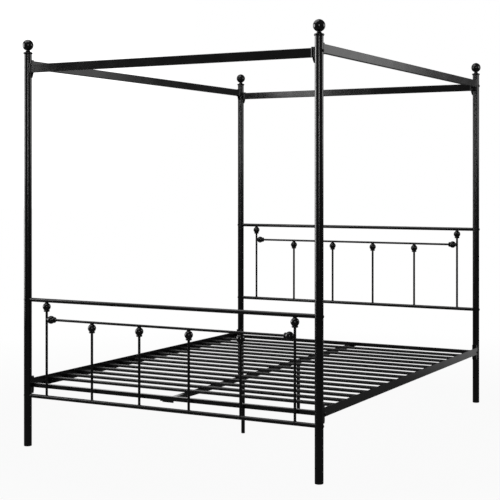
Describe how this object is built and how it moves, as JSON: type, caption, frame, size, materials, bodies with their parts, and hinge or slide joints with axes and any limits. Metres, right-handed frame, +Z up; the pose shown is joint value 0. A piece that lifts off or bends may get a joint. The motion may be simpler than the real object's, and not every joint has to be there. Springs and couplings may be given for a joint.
{
  "type": "four poster canopy bed",
  "caption": "Black painted steel four poster bed with ball finials, a canopy frame of rectangular tube, spindle head and foot boards and a slatted deck on a centre rail with legs.",
  "frame": {"origin": "on the floor, under the middle of the bed", "axes": "+Z up, +Y from the foot to the head, +X across to the right seen from the foot"},
  "size_m": [1.629, 2.162, 1.9796],
  "materials": {
    "black_steel": "satin black powder coat on steel tube",
    "slat_steel": "satin black powder coat on flat steel tube",
    "black_casting": "gloss black paint on castings",
    "black_plastic": "moulded black plastic",
    "black_hardware": "blackened domed bolts",
    "zinc_steel": "zinc plated inserts, nuts and studs"
  },
  "bodies": {
    "root": {"board_bolts": "black_hardware", "board_tube_inserts": "zinc_steel", "canopy_bolts": "black_hardware", "canopy_rail_foot": "black_steel", "canopy_rail_head": "black_steel", "canopy_rail_left": "black_steel", "canopy_rail_right": "black_steel", "canopy_saddles_foot": "black_casting", "canopy_saddles_head": "black_casting", "canopy_saddles_left": "black_casting", "canopy_saddles_right": "black_casting", "centre_leg_caps": "black_plastic", "centre_leg_foot": "black_steel", "centre_leg_head": "black_steel", "centre_leg_plugs": "zinc_steel", "centre_rail": "black_steel", "centre_rail_fasteners": "zinc_steel", "corner_bracket_foot_left": "black_steel", "corner_bracket_foot_right": "black_steel", "corner_bracket_head_left": "black_steel", "corner_bracket_head_right": "black_steel", "cross_bar_foot": "black_steel", "cross_bar_head": "black_steel", "cross_bar_inserts": "zinc_steel", "deck_bolts": "black_hardware", "finial_foot_left": "black_casting", "finial_foot_right": "black_casting", "finial_head_left": "black_casting", "finial_head_right": "black_casting", "footboard_beads": "black_casting", "footboard_bottom_rail": "black_steel", "footboard_mid_rail": "black_steel", "footboard_spindle_1": "black_steel", "footboard_spindle_2": "black_steel", "footboard_spindle_3": "black_steel", "footboard_spindle_4": "black_steel", "footboard_spindle_5": "black_steel", "footboard_spindle_6": "black_steel", "footboard_top_rail": "black_steel", "headboard_beads": "black_casting", "headboard_bottom_rail": "black_steel", "headboard_mid_rail": "black_steel", "headboard_spindle_1": "black_steel", "headboard_spindle_2": "black_steel", "headboard_spindle_3": "black_steel", "headboard_spindle_4": "black_steel", "headboard_spindle_5": "black_steel", "headboard_spindle_6": "black_steel", "headboard_top_rail": "black_steel", "post_foot_caps": "black_plastic", "post_foot_left": "black_steel", "post_foot_right": "black_steel", "post_head_left": "black_steel", "post_head_right": "black_steel", "rail_hanger_foot": "black_steel", "rail_hanger_head": "black_steel", "side_rail_left": "black_steel", "side_rail_right": "black_steel", "slat_seats": "black_plastic", "slats": "slat_steel"}
  },
  "joints": []
}
